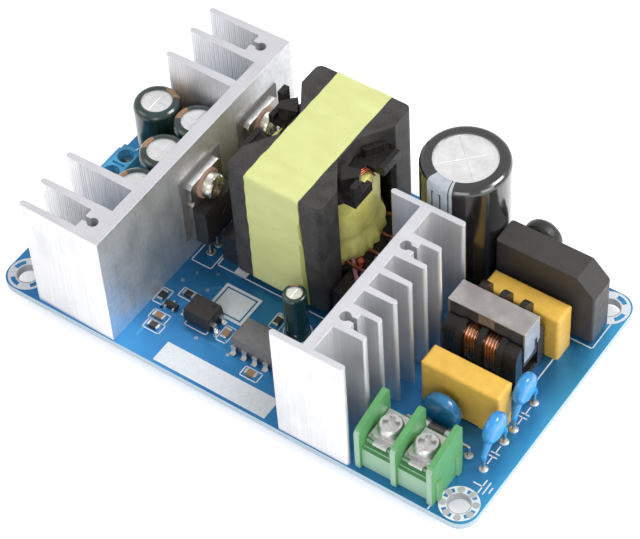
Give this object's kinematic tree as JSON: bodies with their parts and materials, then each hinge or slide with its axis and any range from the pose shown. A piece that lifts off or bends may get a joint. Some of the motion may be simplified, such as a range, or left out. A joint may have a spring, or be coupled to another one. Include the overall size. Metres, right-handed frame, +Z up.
{
  "type": "power supply module",
  "caption": "Open-frame mains power supply module on a blue circuit board, with finned aluminium heat sinks, a taped transformer, capacitors, a choke and screw terminals.",
  "frame": {"origin": "centre of the board's outline, on the surface that the lead tips stand on", "axes": "+X along the board's length to the mains input end, +Y to the rear edge, +Z up out of the board"},
  "size_m": [0.112, 0.064, 0.0364],
  "materials": {
    "board": "gloss",
    "solder": "satin",
    "heatsink": "satin",
    "screw": "polished",
    "tinned_lead": "satin",
    "black_epoxy": "matte",
    "ferrite": "matte",
    "bobbin_plastic": "matte",
    "yellow_tape": "satin",
    "copper": "satin",
    "pink_sleeve": "matte",
    "silicone_pad": "matte",
    "bush_plastic": "matte",
    "can": "satin",
    "black_sleeve": "gloss",
    "green_sleeve": "gloss",
    "yellow_case": "satin",
    "blue_coat": "gloss",
    "dark_blue_coat": "gloss",
    "dark_coat": "satin",
    "fuse_body": "satin",
    "tinplate": "satin",
    "green_plastic": "satin",
    "blue_plastic": "satin",
    "chip_black": "satin",
    "chip_tan": "satin"
  },
  "bodies": {
    "root": {"circuit_board": "board", "solder_joints": "solder", "output_heatsink": "heatsink", "primary_heatsink": "heatsink", "board_screws": "screw", "rectifier_front_case": "black_epoxy", "rectifier_front_frame": "tinned_lead", "rectifier_rear_case": "black_epoxy", "rectifier_rear_frame": "tinned_lead", "switch_case": "black_epoxy", "switch_frame": "tinned_lead", "insulating_pads": "silicone_pad", "insulating_bushes": "bush_plastic", "device_screws": "screw", "core_upper": "ferrite", "core_lower": "ferrite", "core_tape": "yellow_tape", "transformer_bobbin": "bobbin_plastic", "transformer_winding": "yellow_tape", "transformer_pins": "tinned_lead", "winding_wires": "copper", "winding_sleeves": "pink_sleeve", "bulk_cap_can": "can", "bulk_cap_sleeve": "black_sleeve", "output_cap_cans": "can", "output_cap_sleeves": "green_sleeve", "supply_cap_can": "can", "supply_cap_sleeve": "green_sleeve", "capacitor_leads": "tinned_lead", "x_cap_front": "yellow_case", "x_cap_rear": "yellow_case", "y_cap_front": "blue_coat", "y_cap_rear": "blue_coat", "varistor": "dark_blue_coat", "thermistor_disc": "dark_coat", "bridge_body": "black_epoxy", "bridge_leads": "tinned_lead", "fuse_tube": "fuse_body", "fuse_ends": "tinned_lead", "choke_core": "ferrite", "choke_clip": "tinplate", "choke_bobbin": "bobbin_plastic", "choke_windings": "copper", "choke_pins": "tinned_lead", "input_block": "green_plastic", "input_contacts": "tinned_lead", "input_clamps": "tinned_lead", "input_screws": "screw", "output_block": "blue_plastic", "output_cages": "tinned_lead", "output_screws": "screw", "optocoupler_case": "black_epoxy", "control_ic_case": "black_epoxy", "transistor_case": "black_epoxy", "package_leads": "tinned_lead", "chip_resistors": "chip_black", "chip_capacitors": "chip_tan", "chip_ends": "tinned_lead"}
  },
  "joints": []
}
